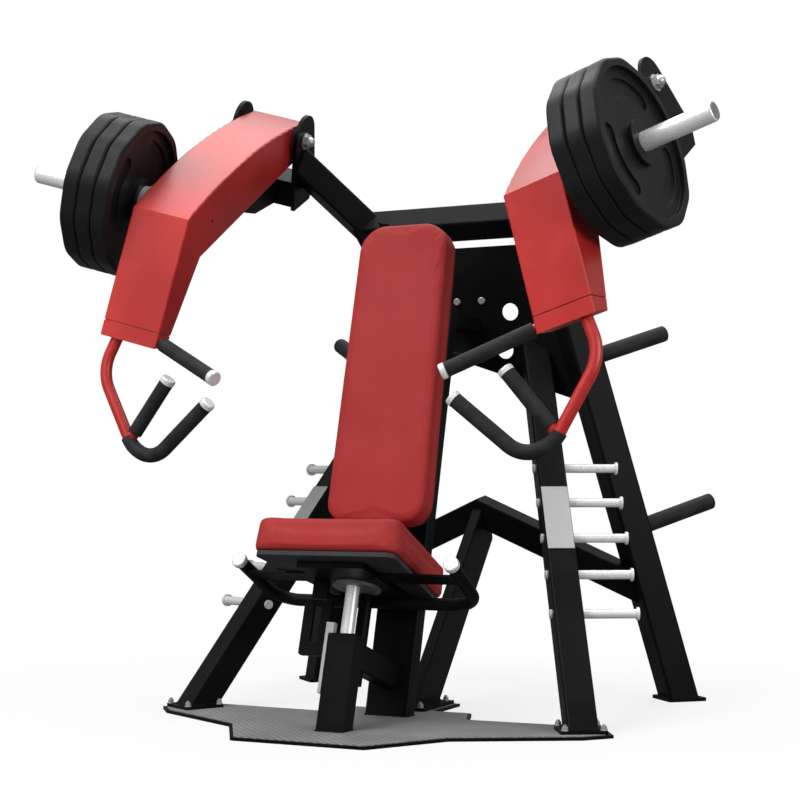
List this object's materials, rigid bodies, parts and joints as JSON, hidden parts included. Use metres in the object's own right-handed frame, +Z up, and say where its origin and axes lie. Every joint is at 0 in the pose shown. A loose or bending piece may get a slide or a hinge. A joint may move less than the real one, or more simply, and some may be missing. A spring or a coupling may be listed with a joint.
{
  "type": "chest press machine",
  "caption": "Plate-loaded incline chest press: steel frame, two converging press arms with plate horns, tilted seat and back pad.",
  "frame": {"origin": "on the floor, on the centre plane, 23 mm behind the line between the two front feet", "axes": "+Z up, +X to the right seen from the front, +Y to the back of the machine; the user faces -Y"},
  "size_m": [1.9606, 1.4005, 1.8092],
  "materials": {
    "frame_black": "satin black powder coat",
    "arm_red": "satin red powder coat",
    "pad_red": "matt red upholstery vinyl",
    "chrome": "polished",
    "steel": "brushed",
    "grip_rubber": "matt foam",
    "cast_black": "black coated",
    "mat_rubber": "textured",
    "board_black": "moulded",
    "bush_plastic": "satin"
  },
  "bodies": {
    "frame": {"base_plate": "frame_black", "floor_mat": "mat_rubber", "foot_plates": "frame_black", "foot_bolts": "steel", "front_leg_left": "frame_black", "front_leg_right": "frame_black", "rear_leg_left": "frame_black", "rear_leg_right": "frame_black", "upper_beam_left": "frame_black", "upper_beam_right": "frame_black", "yoke_left": "frame_black", "yoke_right": "frame_black", "chevron_brace": "frame_black", "centre_leg": "frame_black", "column": "frame_black", "column_ties": "frame_black", "crossbar": "frame_black", "back_panel": "frame_black", "panel_bolts": "steel", "stop_bumpers": "grip_rubber", "pivot_shafts": "steel", "back_pad": "pad_red", "back_board": "board_black", "back_brackets": "frame_black", "seat_post": "frame_black", "post_bush": "bush_plastic", "seat_beam": "frame_black", "scale_strip": "steel", "band_pegs": "chrome", "storage_horns": "grip_rubber", "blank_plates": "steel"},
    "left_arm": {"arm_shell_left": "arm_red", "arm_hub_left": "steel", "arm_bearings_left": "steel", "arm_tip_cap_left": "arm_red", "plate_horn_left": "chrome", "handle_frame_left": "arm_red", "curved_grip_left": "grip_rubber", "straight_grips_left": "grip_rubber", "grip_end_caps_left": "chrome"},
    "right_arm": {"arm_shell_right": "arm_red", "arm_hub_right": "steel", "arm_bearings_right": "steel", "arm_tip_cap_right": "arm_red", "plate_horn_right": "chrome", "handle_frame_right": "arm_red", "curved_grip_right": "grip_rubber", "straight_grips_right": "grip_rubber", "grip_end_caps_right": "chrome"},
    "left_plates": {"weight_plates_left": "cast_black"},
    "right_plates": {"weight_plates_right": "cast_black"},
    "seat": {"seat_pad": "pad_red", "seat_board": "board_black", "seat_carriage": "frame_black", "seat_flange": "steel", "guide_rod": "chrome", "turn_guide": "frame_black", "grab_bar": "frame_black", "grab_caps": "chrome"},
    "lever": {"release_lever": "frame_black"}
  },
  "joints": [
    {"name": "right_arm_pivot", "type": "hinge", "parent": "frame", "child": "right_arm", "pos_m": [0.552, 0.386, 1.706], "axis": [-0.9477, 0.1701, -0.2702], "range_deg": [0, 40]},
    {"name": "left_arm_pivot", "type": "hinge", "parent": "frame", "child": "left_arm", "pos_m": [-0.552, 0.386, 1.706], "axis": [-0.9477, -0.1701, 0.2702], "range_deg": [0, 40]},
    {"name": "right_plates_slide", "type": "slide", "parent": "right_arm", "child": "right_plates", "axis": [0.9477, -0.1701, 0.2702], "range_m": [0, 0.17]},
    {"name": "left_plates_slide", "type": "slide", "parent": "left_arm", "child": "left_plates", "axis": [-0.9477, -0.1701, 0.2702], "range_m": [0, 0.17]},
    {"name": "seat_height", "type": "slide", "parent": "frame", "child": "seat", "axis": [0, 0.2924, 0.9563], "range_m": [-0.08, 0.035]},
    {"name": "seat_release", "type": "hinge", "parent": "seat", "child": "lever", "pos_m": [-0.093, -0.17589, 0.334], "axis": [-1, 0, 0], "range_deg": [0, 20], "stiffness_Nm_per_rad": 0.6, "springref_deg": -17.19}
  ]
}
